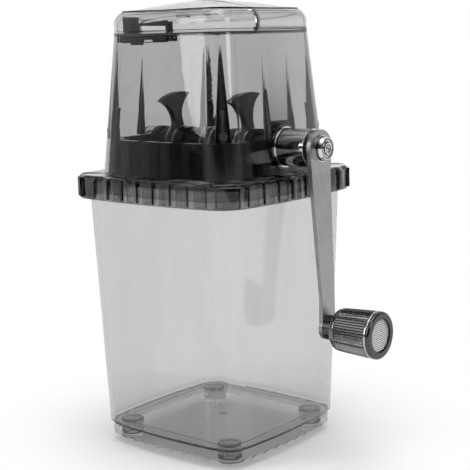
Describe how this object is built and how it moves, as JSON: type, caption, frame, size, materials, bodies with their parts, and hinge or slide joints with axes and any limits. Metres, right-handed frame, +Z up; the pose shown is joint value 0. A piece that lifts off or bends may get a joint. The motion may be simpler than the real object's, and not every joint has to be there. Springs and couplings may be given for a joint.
{
  "type": "hand cranked ice crusher",
  "caption": "Square hand cranked ice crusher: clear tapered ice bin, smoked collar and housing with domed lid, picks on a shaft, side crank with ribbed knob.",
  "frame": {"origin": "on the table, under the middle of the ice bin", "axes": "+Z up, +X towards the crank side, -Y towards the front with the filling flap"},
  "size_m": [0.1807, 0.1308, 0.262],
  "materials": {
    "clear_plastic": "clear, very slightly grey, glossy",
    "smoked_plastic": "smoked transparent grey, glossy",
    "dark_plastic": "near black, semi gloss",
    "black_plastic": "black, satin",
    "foot_rubber": "soft translucent grey",
    "pick_steel": "dark hardened steel",
    "bright_steel": "polished",
    "arm_steel": "satin stainless sheet",
    "bush_plastic": "plain bearing plastic",
    "knob_plastic": "smoke grey, ribbed",
    "disc_steel": "fine turned metal"
  },
  "bodies": {
    "bin": {"ice_bin": "clear_plastic", "foot_pads": "foot_rubber"},
    "housing": {"collar_ring": "smoked_plastic", "housing_shell": "smoked_plastic", "hopper_tray": "dark_plastic", "comb_front": "pick_steel", "comb_rear": "pick_steel", "comb_screws": "bright_steel", "corner_screws": "bright_steel", "drive_bush": "bush_plastic", "end_bush": "bush_plastic", "rear_cover": "smoked_plastic", "lid_hinge_pin": "bright_steel", "catch_pin": "bright_steel"},
    "lid": {"lid_flap": "smoked_plastic"},
    "catch": {"lid_catch": "black_plastic"},
    "rotor": {"drive_shaft": "bright_steel", "pick_left": "pick_steel", "pick_middle": "pick_steel", "pick_right": "pick_steel", "pick_rings": "bright_steel", "spacer_sleeves": "dark_plastic", "end_nut": "bright_steel", "hub_boss": "bright_steel", "crank_arm": "arm_steel", "flange_washer": "bright_steel", "crank_nut": "bright_steel", "knob_spindle": "bright_steel"},
    "knob": {"knob_grip": "knob_plastic", "knob_ring": "smoked_plastic", "knob_disc": "disc_steel"}
  },
  "joints": [
    {"name": "housing_lift", "type": "slide", "parent": "bin", "child": "housing", "axis": [0, 0, 1], "range_m": [0, 0.05]},
    {"name": "lid_hinge", "type": "hinge", "parent": "housing", "child": "lid", "pos_m": [0, -0.014, 0.2597], "axis": [-1, 0, 0], "range_deg": [0, 100]},
    {"name": "catch_tilt", "type": "hinge", "parent": "housing", "child": "catch", "pos_m": [0, -0.039, 0.2411], "axis": [-1, 0, 0], "range_deg": [0, 10], "stiffness_Nm_per_rad": 0.01, "springref_deg": -11.46},
    {"name": "crank_spin", "type": "hinge", "parent": "housing", "child": "rotor", "pos_m": [0, 0, 0.1789], "axis": [1, 0, 0], "continuous": true},
    {"name": "knob_spin", "type": "hinge", "parent": "rotor", "child": "knob", "pos_m": [0.1013, 0, 0.0784], "axis": [1, 0, 0], "continuous": true}
  ]
}
